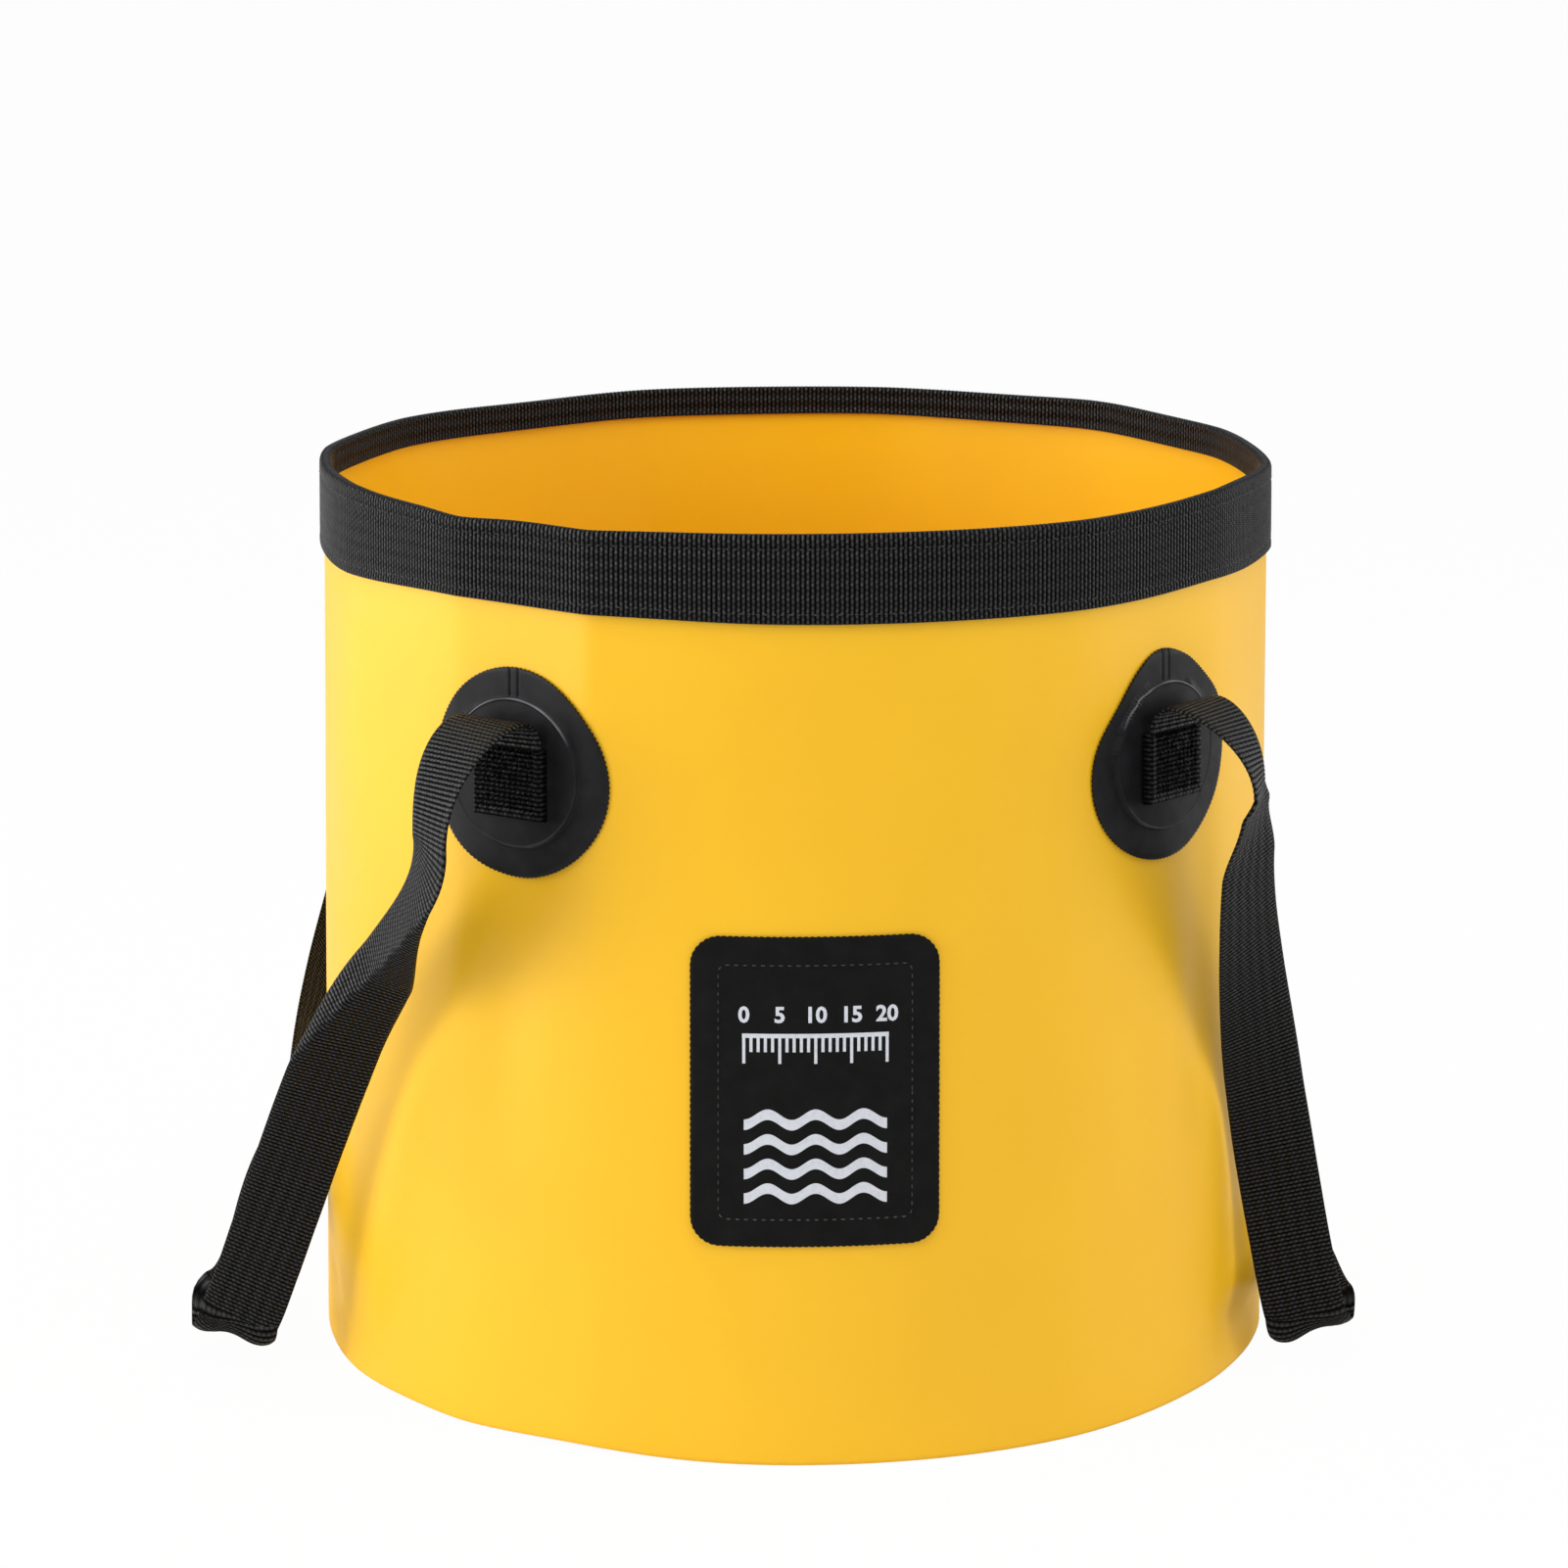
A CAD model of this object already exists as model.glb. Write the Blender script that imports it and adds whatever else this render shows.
"""Collapsible camp bucket: soft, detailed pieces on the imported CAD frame, a studio floor and light.

Places on the wall are given as in the CAD source: a turn about Z away from the front
(degrees, + to the right), and a height. Lengths are metres.
"""
import math

import bpy
import numpy as np
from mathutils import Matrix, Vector, noise


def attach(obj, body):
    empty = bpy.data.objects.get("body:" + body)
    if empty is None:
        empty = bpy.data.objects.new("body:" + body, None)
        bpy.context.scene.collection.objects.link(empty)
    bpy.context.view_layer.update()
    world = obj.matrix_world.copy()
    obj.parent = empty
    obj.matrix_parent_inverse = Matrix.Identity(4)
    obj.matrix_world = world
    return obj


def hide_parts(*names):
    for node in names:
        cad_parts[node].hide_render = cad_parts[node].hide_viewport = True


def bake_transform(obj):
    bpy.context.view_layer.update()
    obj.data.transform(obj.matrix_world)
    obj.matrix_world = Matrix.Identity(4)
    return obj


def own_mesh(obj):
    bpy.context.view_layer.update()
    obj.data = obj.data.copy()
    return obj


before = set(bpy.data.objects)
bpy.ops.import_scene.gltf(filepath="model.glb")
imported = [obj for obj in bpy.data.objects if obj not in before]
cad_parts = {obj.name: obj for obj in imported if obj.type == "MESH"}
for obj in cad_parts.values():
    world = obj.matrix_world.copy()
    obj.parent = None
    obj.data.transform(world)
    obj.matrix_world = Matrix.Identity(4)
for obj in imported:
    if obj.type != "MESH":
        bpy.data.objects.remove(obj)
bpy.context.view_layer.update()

MM = 0.001
UP = np.array([0, 0, 1.0])

# Tub, as in the CAD source
HEIGHT = 280 * MM
FOOT_RADIUS = 151.2 * MM
RIM_RADIUS = 147.4 * MM
SHEET = 0.8 * MM
LAP_WIDTH = 20 * MM
LAP_EDGE = 0.9 * MM
GAP = 0.3 * MM
HEEL = 2.5 * MM
TAPE = 1.0 * MM
TAPE_OUTER = 26 * MM
TAPE_INNER = 9 * MM
LABEL_SIZE = (74 * MM, 94 * MM)
LABEL_CORNER = 9 * MM
LABEL_THICKNESS = 0.8 * MM
LABEL_MIDDLE = HEIGHT - 165 * MM
LABEL_TURN = -4.9
PATCH_TURN = 40.7
PATCH_MIDDLE = HEIGHT - 74.5 * MM
PATCH_RADIUS = 31.5 * MM
PATCH_THICKNESS = 0.9 * MM
BACKING_RADIUS = 22 * MM
BACKING_THICKNESS = 0.6 * MM
STRAP_WIDTH = 25 * MM
STRAP_THICKNESS = 1.6 * MM
BLOCK_HEIGHT = 21.5 * MM
BLOCK_TOP = PATCH_MIDDLE + 8.5 * MM
BLOCK_THICKNESS = 2 * STRAP_THICKNESS
PATCH_FACE = GAP + BACKING_THICKNESS + GAP + PATCH_THICKNESS

# The turned-up edge of the base is 1 mm lower than in the CAD source, so that it stays below the
# wall's upper zone when the bucket is collapsed.
FLANGE_HEIGHT = 13 * MM

# How far each zone is pressed together when the bucket is collapsed. The wall is parted just below
# the patches: the stiff upper zone keeps more of its height and stays on the rim. The patches are
# pressed a little more, so that they stay clear of the rim tape.
WALL_PART = 172 * MM

# How each handle hangs, as in the CAD source
RIGHT_HANDLE = dict(
    side=1, pivot_reach=32.3 * MM, pivot_height=197.8 * MM, pivot_drift=1.5,
    arch_end_lift=19 * MM, foot_turn=63.8, foot_reach=20.9 * MM, foot_height=9.5 * MM,
    foot_tilt=22, pivot_face=-30.4,
    front=dict(
        top_pull=48.2 * MM, top_flare=-11.8 * MM, foot_pull=102.7 * MM, foot_sweep=1,
        foot_flare=-22.2 * MM, foot_face=66, waist_run=6 * MM, waist_face=-19.4,
        settle_length=26.2 * MM, twist_start=19.5 * MM, twist_length=140.7 * MM,
    ),
    back=dict(
        top_pull=66.2 * MM, top_flare=-20.8 * MM, foot_pull=24.4 * MM, foot_sweep=16.4,
        foot_flare=-36.8 * MM, foot_face=114, waist_run=1 * MM, waist_face=-30.4,
        settle_length=53.8 * MM, twist_start=239.8 * MM, twist_length=50 * MM,
    ),
)
LEFT_HANDLE = dict(
    side=-1, pivot_reach=34 * MM, pivot_height=190 * MM, pivot_drift=2,
    arch_end_lift=30 * MM, foot_turn=78.8, foot_reach=34.1 * MM, foot_height=9.5 * MM,
    foot_tilt=15, pivot_face=-29,
    front=dict(
        top_pull=25.8 * MM, top_flare=-0.8 * MM, foot_pull=110 * MM, foot_sweep=10.9,
        foot_flare=-29.4 * MM, foot_face=57.1, waist_run=25 * MM, waist_face=-34.5,
        settle_length=100.3 * MM, twist_start=-1.9 * MM, twist_length=125.4 * MM,
        crease_spread=46.5 * MM,
    ),
    back=dict(
        top_pull=90 * MM, top_flare=-19.1 * MM, foot_pull=30 * MM, foot_sweep=-2,
        foot_flare=-36 * MM, foot_face=122.9, waist_run=1 * MM, waist_face=-29,
        settle_length=60 * MM, twist_start=172 * MM, twist_length=94 * MM,
    ),
)
ARCH_START_LIFT = 18 * MM
SHOULDER = 0.4 * MM
LOOP_TURN_RADIUS = 7 * MM

# Webbing: the cross ribs, the part of a rib's height that lies below the plain face, and the
# softness of the left strap's crease
RIB_PITCH = 1.42 * MM
RIB_DEPTH = 0.4 * MM
RIB_BELOW = 0.6
STEPS_PER_RIB = 4
STRAP_COLUMNS = np.linspace(-1, 1, 33)
CREASE_SOFTNESS = 7 * MM

# The foot of each loop: how far the edges curl up, and its waves
FOOT_CURL = 3.0 * MM
FOOT_WAVE = 0.6 * MM
FOOT_CURL_RUN = 12 * MM

# Camera, fitted to the ellipses of the rim, the tape and the base in the photograph
CAMERA_PLACE = (-0.20501, -1.57673, 0.534)
CAMERA_PITCH = 12.76
CAMERA_TURN = -7.3
LENS = 117.4


# Lines and soft steps


def smooth(share):
    """A soft step from 0 to 1."""
    share = np.clip(share, 0, 1)
    return share * share * (3 - 2 * share)


def bump(value, middle, width):
    """A soft bell of height 1."""
    return np.exp(-(((value - middle) / width) ** 2))


def turn_gap(turn, other):
    """Signed difference of two turns, -180 to 180."""
    return (np.asarray(turn, float) - other + 180) % 360 - 180


def unit(vectors):
    return vectors / np.linalg.norm(vectors, axis=-1, keepdims=True)


def run_along(points):
    """Distance along a line of points, at each point."""
    return np.concatenate([[0], np.cumsum(np.linalg.norm(np.diff(points, axis=0), axis=1))])


def points_at(at, run, points):
    """Points at distances along a line whose own points lie at the distances run."""
    return np.stack([np.interp(at, run, points[:, k]) for k in range(3)], axis=1)


def resample(line, spacing):
    """Points at equal spacing along a line, and their distances along it."""
    run = run_along(line)
    at = np.linspace(0, run[-1], max(2, int(run[-1] / spacing) + 1))
    return points_at(at, run, line), at


# Soft shape of the tub

# Soft corners of the tub seen from above. Between two corners the wall lies a little flatter, most
# near the rim.
CORNERS = (-128, -103, -72, -49, -30, 27, 52, 76, 104, 131, 160, 193)
CORNER_DEPTH = 1.6 * MM
CORNER_SHARE_AT_FOOT = 0.35
CORNER_RISE_START = 120 * MM
CORNER_RISE = 150 * MM
CORNER_USUAL_GAP = 30

# Upright creases and dents: turn, height, width in degrees, half height, depth inwards. These
# and the other heights and depths in such lists are in millimetres.
DENTS = (
    (-22, 226, 8, 60, 0.5),
    (42, 130, 3.5, 46, -0.5),
    (48.5, 130, 3.2, 50, 1.3),
    (-49, 138, 4, 44, -0.8),
    (-42, 138, 3.6, 44, 1.6),
    (-84, 20, 3.5, 7, 1.4),
    (-81, 8, 3, 4, 0.8),
    (-70, 18, 6, 12, 0.6),
    (60, 15, 5, 9, 2.4),
    (64, 31, 5, 8, -1),
    (100, 60, 9, 40, 1.2),
    (148, 90, 12, 60, 1.2),
    (-140, 70, 10, 45, 1.4),
    (-168, 130, 7, 60, 0.8),
)

# Sharp upright ridges under the rim: turn, reach to each side in degrees, height of the ridge
RIDGES = ((-31, 5.5, 2.4), (-49, 5, 0.7))
RIDGE_END = 110 * MM
RIDGE_FULL = 250 * MM

# Where the foot of the wall is lifted off the ground: turn, width in degrees, lift
FOOT_LIFTS = ((-34, 13, 1.7), (-58, 8, 0.5), (52, 12, 0.9), (150, 15, 0.8))
FOOT_LIFT_FADE = 30 * MM


def corner_shape(turn):
    """0 at each soft corner, 1 midway between two of them."""
    turn = np.asarray(turn, float) % 360
    corners = sorted(corner % 360 for corner in CORNERS)
    corners = [corners[-1] - 360] + corners + [corners[0] + 360]
    shape = 0
    for low, high in zip(corners, corners[1:]):
        share = np.clip((turn - low) / (high - low), 0, 1)
        width = min((high - low) / CORNER_USUAL_GAP, 1.6)
        shape = shape + np.where(share < 1, width * np.sin(math.pi * share) ** 1.4, 0)
    return shape


def wall_radius(height):
    return FOOT_RADIUS + (RIM_RADIUS - FOOT_RADIUS) * np.asarray(height, float) / HEIGHT


def skin(turn, height):
    """Outer radius of the wall with its soft corners, creases and dents."""
    turn, height = np.broadcast_arrays(np.asarray(turn, float), np.asarray(height, float))
    radius = wall_radius(height)
    near_rim = smooth((height - CORNER_RISE_START) / CORNER_RISE)
    corner_share = CORNER_SHARE_AT_FOOT + (1 - CORNER_SHARE_AT_FOOT) * near_rim
    radius = radius - CORNER_DEPTH * (corner_shape(turn) - 0.5) * corner_share
    for middle, level, width, half, depth in DENTS:
        upright = bump(height, level * MM, half * MM)
        radius = radius - depth * MM * bump(turn_gap(turn, middle), 0, width) * upright
    rising = smooth((height - RIDGE_END) / (RIDGE_FULL - RIDGE_END))
    for middle, reach, ridge in RIDGES:
        away = np.sqrt(turn_gap(turn, middle) ** 2 + 0.3)
        shape = np.exp(-away / reach) - 0.25 * bump(away, 0, 3 * reach)
        radius = radius + ridge * MM * rising * shape
    return radius


def shift_along(turn, shifts):
    return sum(amount * MM * bump(turn_gap(turn, middle), 0, width) for middle, width, amount in shifts)


def foot_lift(turn, height):
    """How far the wall and base are lifted off the ground at a turn, fading up the wall."""
    return shift_along(turn, FOOT_LIFTS) * (1 - smooth(height / FOOT_LIFT_FADE))


def on_bucket(radius, turn, height):
    """Points at radii, turns in degrees and heights, as an array with x, y, z last."""
    radius, turn, height = np.broadcast_arrays(radius, turn, height)
    angle = np.radians(turn)
    return np.stack([radius * np.sin(angle), -radius * np.cos(angle), height], axis=-1)


# Mesh building


def grid_quads(rows, cols, wrap_rows=False, wrap_cols=False):
    """Corner numbers of the quads of a grid, row by row, and the rows and columns of their starts."""
    i, j = np.indices((rows if wrap_rows else rows - 1, cols if wrap_cols else cols - 1))
    i, j = i.ravel(), j.ravel()
    i2, j2 = (i + 1) % rows, (j + 1) % cols
    return np.stack([i * cols + j, i * cols + j2, i2 * cols + j2, i2 * cols + j], axis=1), i, j


def add_grid(name, material, points, uv, wrap_rows=False, wrap_cols=False, caps=False):
    """A mesh of quads through points[row, column]. uv has one more row or column where it wraps."""
    rows, cols = points.shape[:2]
    quads, i, j = grid_quads(rows, cols, wrap_rows, wrap_cols)
    faces = quads.tolist()
    corners = [uv[i, j], uv[i, j + 1], uv[i + 1, j + 1], uv[i + 1, j]]
    loop_uv = np.stack(corners, axis=1).reshape(-1, 2)
    if caps:
        around = np.arange(cols)
        faces += [around.tolist(), ((rows - 1) * cols + around[::-1]).tolist()]
        loop_uv = np.concatenate([loop_uv, uv[0, around], uv[rows - 1, around[::-1]]])
    return add_mesh(name, material, points.reshape(-1, 3), faces, loop_uv)


def add_object(name, data):
    obj = bpy.data.objects.new(name, data)
    bpy.context.collection.objects.link(obj)
    return obj


def add_mesh(name, material, verts, faces, loop_uv=None):
    mesh = bpy.data.meshes.new(name)
    mesh.from_pydata(np.asarray(verts).tolist(), [], faces)
    if loop_uv is not None:
        layer = mesh.uv_layers.new(name="place")
        layer.data.foreach_set("uv", np.asarray(loop_uv, np.float32).ravel())
    mesh.shade_smooth()
    mesh.set_sharp_from_angle(angle=math.radians(50))
    mesh.materials.append(material)
    return add_object(name, mesh)


def disc_faces(steps, ring_count):
    """Faces of a disc: a centre point, then rings of equal steps."""
    around = np.arange(steps)
    fan = np.stack([0 * around, 1 + around, 1 + (around + 1) % steps], axis=1)
    quads = grid_quads(ring_count, steps, wrap_cols=True)[0]
    return fan.tolist() + (1 + quads[:, [0, 3, 2, 1]]).tolist()


def place_on_wall(points, turn, middle, offset):
    """Wraps (across, up) points on the wall about a turn and a height, at an offset from it."""
    height = middle + points[:, 1]
    turns = turn + np.degrees(points[:, 0] / wall_radius(middle))
    return on_bucket(skin(turns, height) + offset, turns, height)


def plate_on_wall(name, material, turn, middle, outline, shares, front, back):
    """A plate wrapped on the wall.

    outline is its edge as (across, up) points, shares the rings inside it from 0 to 1,
    and front(across, up) and back give how far each face stands off the wall.
    """
    steps = len(outline)
    flat = np.concatenate([np.zeros((1, 2))] + [outline * share for share in shares])
    count = len(flat)
    offsets = (front(flat[:, 0], flat[:, 1]), back)
    verts = np.concatenate([place_on_wall(flat, turn, middle, offset) for offset in offsets])
    disc = disc_faces(steps, len(shares))
    edge = count - steps + np.arange(steps)
    after = np.roll(edge, -1)
    rim = np.stack([edge, count + edge, count + after, after], axis=1)
    faces = disc + [[v + count for v in face[::-1]] for face in disc] + rim.tolist()
    both = np.concatenate([flat, flat])
    return add_mesh(name, material, verts, faces, both[np.concatenate(faces)])


# Materials

# Each material's main colour and the one it changes to in places. A third value is its gloss, and a
# fourth its lowest and highest roughness.
TARPAULIN = (0.92, 0.515, 0.008, 1), (0.88, 0.48, 0.006, 1), 0.42, (0.36, 0.48)
PATCH = (0.006, 0.006, 0.007, 1), (0.012, 0.012, 0.014, 1), 0.19, (0.42, 0.56)
LABEL = (0.003, 0.003, 0.003, 1), (0.006, 0.006, 0.006, 1), 0.12, (0.55, 0.68)
WEBBING = (0.002, 0.002, 0.002, 1), (0.013, 0.013, 0.014, 1), 0.62
STITCHED_WEBBING = (0.0015, 0.0015, 0.0015, 1), (0.006, 0.006, 0.006, 1), 0.34
THREAD = (0.008, 0.008, 0.009, 1), (0.03, 0.03, 0.032, 1)
INK = (0.62, 0.64, 0.70, 1), (0.52, 0.54, 0.60, 1)
WEBBING_ROUGHNESS = (0.34, 0.50)
RUBBED_RING = (0.16, 0.16, 0.165, 1)

# The webbing's warp yarns, its fine slanting threads and its broad soft columns
YARN_PITCH = 1.68 * MM
YARN_SHIFT = 0.42 * MM
TWILL_PITCH = 0.62 * MM
TWILL_SLOPE = 0.55
COLUMN_PITCH = 4.2 * MM
COLUMN_WANDER = 1.2 * MM

SCRIM_PITCH = 1.1 * MM


class Nodes:
    """Makes and links the shader nodes of a material or world."""

    def __init__(self, owner, shader="Principled BSDF"):
        owner.use_nodes = True
        self.owner = owner
        self.tree = owner.node_tree
        self.shader = self.tree.nodes[shader]

    def fill(self, node, inputs):
        for key, value in inputs.items():
            if isinstance(value, bpy.types.NodeSocket):
                self.tree.links.new(value, node.inputs[key])
            else:
                node.inputs[key].default_value = value
        return node

    def add(self, kind, inputs=(), **settings):
        node = self.tree.nodes.new(kind)
        for key, value in settings.items():
            setattr(node, key, value)
        return self.fill(node, dict(inputs))

    def set(self, **values):
        self.fill(self.shader, {key.replace("_", " "): value for key, value in values.items()})
        return self.owner

    def math(self, operation, a, b=0.0):
        return self.add("ShaderNodeMath", {0: a, 1: b}, operation=operation).outputs[0]

    def sum(self, a, b):
        return self.math("ADD", a, b)

    def product(self, a, b):
        return self.math("MULTIPLY", a, b)

    def wave(self, coordinate, pitch):
        """Sine from -1 to 1 along a coordinate in metres."""
        return self.math("SINE", self.product(coordinate, math.tau / pitch))

    def body(self):
        """The place on the piece, in metres."""
        return self.add("ShaderNodeTexCoord").outputs["Object"]

    def place(self):
        """The piece's own flat layout and its two coordinates, in metres."""
        uv = self.add("ShaderNodeUVMap", uv_map="place").outputs[0]
        parts = self.add("ShaderNodeSeparateXYZ", {0: uv})
        return uv, parts.outputs[0], parts.outputs[1]

    def noise(self, vector, scale, detail):
        inputs = {"Vector": vector, "Scale": scale, "Detail": detail, "Roughness": 0.55}
        return self.add("ShaderNodeTexNoise", inputs).outputs[0]

    def ramp(self, value, low, high, start=0.0, end=1.0):
        """Goes from low to high while the value goes from start to end."""
        inputs = {0: value, 1: start, 2: end, 3: low, 4: high}
        return self.add("ShaderNodeMapRange", inputs).outputs[0]

    def mix(self, share, a, b):
        inputs = {0: share, 6: a, 7: b}
        return self.add("ShaderNodeMix", inputs, data_type="RGBA").outputs[2]

    def bump(self, height, strength, distance, normal=None):
        inputs = {"Height": height, "Strength": strength, "Distance": distance}
        if normal is not None:
            inputs["Normal"] = normal
        return self.add("ShaderNodeBump", inputs).outputs[0]

    def seen(self):
        """1 for what the camera itself sees, 0 for the light that it gives."""
        return self.add("ShaderNodeLightPath").outputs["Is Camera Ray"]


def material_nodes(name):
    return Nodes(bpy.data.materials.new(name))


def tarpaulin(name, tint, deep, gloss, roughness):
    """PVC-coated sheet: satin coat, the scrim showing faintly through, and slight shade changes."""
    n = material_nodes(name)
    uv, across, up = n.place()
    body = n.body()
    color = n.mix(n.ramp(n.noise(body, 9, 2), 0, 1, 0.35, 0.7), tint, deep)
    scrim = n.sum(n.wave(across, SCRIM_PITCH), n.wave(up, SCRIM_PITCH))
    fine = n.sum(n.product(scrim, 0.22), n.noise(uv, 900, 2))
    orange_peel = n.bump(n.noise(uv, 160, 3), 0.12, 0.5 * MM)
    normal = n.bump(fine, 0.10, 0.12 * MM, orange_peel)
    rough = n.ramp(n.noise(body, 22, 4), *roughness, 0.3, 0.7)
    return n.set(Base_Color=color, Roughness=rough, Normal=normal, Specular_IOR_Level=gloss)


def webbing(name, tint, glint, gloss):
    """Woven tape. The cross ribs are in the mesh; yarns, columns and stray shade are here."""
    n = material_nodes(name)
    uv, across, along = n.place()
    rib = n.wave(along, 2 * RIB_PITCH)
    yarn = n.wave(n.sum(across, n.product(n.math("SIGN", rib), YARN_SHIFT)), YARN_PITCH)
    twill = n.wave(n.sum(across, n.product(along, TWILL_SLOPE)), TWILL_PITCH)
    column = n.wave(n.sum(across, n.product(n.noise(uv, 60, 1), COLUMN_WANDER)), COLUMN_PITCH)
    threads = n.sum(n.product(yarn, 0.55), n.product(twill, 0.35))
    fuzzy = n.sum(threads, n.product(n.noise(uv, 2600, 2), 0.5))
    normal = n.bump(fuzzy, 0.6, 0.24 * MM, n.bump(column, 0.45, 0.45 * MM))
    crown = n.ramp(n.math("POWER", n.math("ABSOLUTE", rib), 3), 0.05, 1)
    shade = n.ramp(n.noise(uv, 300, 3), 0, 1, 0.3, 0.7)
    peak = n.product(n.ramp(yarn, 0, 1, -0.2, 1), shade)
    color = n.mix(n.product(peak, crown), tint, glint)
    brick = n.ramp(yarn, 0.55, 1, -0.6, 0.4)
    shine = n.product(n.product(crown, brick), gloss)
    rough = n.ramp(n.noise(uv, 500, 2), *WEBBING_ROUGHNESS, 0.3, 0.7)
    return n.set(Base_Color=color, Roughness=rough, Normal=normal, Specular_IOR_Level=shine)


def soft_plastic(name, tint, worn, gloss, roughness, ring=None):
    """Black PVC sheet: fine leather-like grain, faint rubbed places and a rubbed ring at a radius."""
    n = material_nodes(name)
    uv, _, up = n.place()
    normal = n.bump(n.noise(uv, 1400, 3), 0.12, 0.15 * MM, n.bump(n.noise(uv, 70, 4), 0.1, 1.0 * MM))
    color = n.mix(n.ramp(n.noise(uv, 130, 4), 0, 1, 0.4, 0.75), tint, worn)
    if ring:
        reach = n.add("ShaderNodeVectorMath", {0: uv}, operation="LENGTH").outputs[1]
        line = n.ramp(n.math("ABSOLUTE", n.math("SUBTRACT", reach, ring)), 1, 0, 0.1 * MM, 0.32 * MM)
        above = n.ramp(up, 0, 1, 10 * MM, 17 * MM)
        below = n.ramp(up, 0.3, 0, -20 * MM, -16 * MM)
        broken = n.ramp(n.noise(uv, 55, 2), 0.15, 1, 0.42, 0.58)
        rubbed = n.product(n.product(line, broken), n.math("MAXIMUM", above, below))
        color = n.mix(rubbed, color, RUBBED_RING)
    rough = n.ramp(n.noise(uv, 210, 3), *roughness, 0.3, 0.7)
    return n.set(Base_Color=color, Roughness=rough, Normal=normal, Specular_IOR_Level=gloss)


def plain_thread(name, tint, light):
    """Twisted sewing thread."""
    n = material_nodes(name)
    body = n.body()
    normal = n.bump(n.noise(body, 3000, 2), 0.4, 0.1 * MM)
    return n.set(Base_Color=n.mix(n.noise(body, 900, 2), tint, light), Roughness=0.5, Normal=normal)


def print_ink(name, tint, thin):
    """Screen print with slightly uneven cover."""
    n = material_nodes(name)
    body = n.body()
    color = n.mix(n.ramp(n.noise(body, 700, 3), 0, 1, 0.45, 0.8), tint, thin)
    return n.set(Base_Color=color, Roughness=0.55, Normal=n.bump(n.noise(body, 1800, 2), 0.15, 0.1 * MM))


# Wall and base

WALL_STEP = 2.6 * MM
BASE_SHARES = (0.0, 0.15, 0.3, 0.45, 0.6, 0.72, 0.82, 0.9, 0.95, 0.98, 1.0)
BASE_RIPPLE = 0.25 * MM
HEEL_STEPS = 5


def lap_limits():
    """Half the width of the welded lap and the width of its sloping edge, in degrees."""
    return math.degrees(LAP_WIDTH / 2 / FOOT_RADIUS), math.degrees(LAP_EDGE / FOOT_RADIUS)


def wall_turns():
    """Turns round the wall, closer together at the edges of the welded lap."""
    half, edge = lap_limits()
    clear = 0.4
    turns = np.arange(0, 360, 1.0)
    from_lap = np.abs(turns - 180)
    plain = turns[(from_lap > half + edge + clear) | (from_lap < half - clear)]
    close = [180 + side * (half + k * edge / 3) for side in (-1, 1) for k in range(-1, 5)]
    return np.sort(np.concatenate([plain, close]))


def lap_height(turn, height):
    """How far the welded overlap at the back stands off the sheet. It ends below the rim tape."""
    half, edge = lap_limits()
    across = smooth((half + edge - np.abs(turn_gap(turn, 180))) / edge)
    under_tape = smooth((HEIGHT - TAPE_OUTER - 0.8 * MM - height) / (1.5 * MM))
    return SHEET * across * under_tape


def build_wall(name, low, high, material, body):
    """One zone of the wall as a closed sheet, which presses together towards a level."""
    turns = wall_turns()
    levels = np.linspace(low, high, round((high - low) / WALL_STEP) + 1)
    if low == 0:
        levels = np.concatenate([[0, 0.25 * MM, 0.7 * MM, 1.5 * MM], levels[1:]])
    t, z = np.meshgrid(turns, levels, indexing="ij")
    edge_curl = 0.3 * MM * (1 - smooth(z / (0.7 * MM))) if low == 0 else 0
    outer = on_bucket(skin(t, z) + lap_height(t, z) - edge_curl, t, z)
    inner = on_bucket(skin(t, z) - SHEET + edge_curl, t, z)
    for face in (outer, inner):
        face[..., 2] += foot_lift(t, z)
    points = np.concatenate([outer, inner[:, ::-1]], axis=1)
    along = np.radians(np.append(turns, turns[0] + 360)) * FOOT_RADIUS
    rise = np.concatenate([levels, levels[::-1], levels[:1]])
    uv = np.stack(np.meshgrid(along, rise, indexing="ij"), axis=-1)
    obj = add_grid(name, material, points, uv, wrap_rows=True, wrap_cols=True)
    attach(obj, body)
    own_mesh(obj)
    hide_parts("wall_panel")


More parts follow.
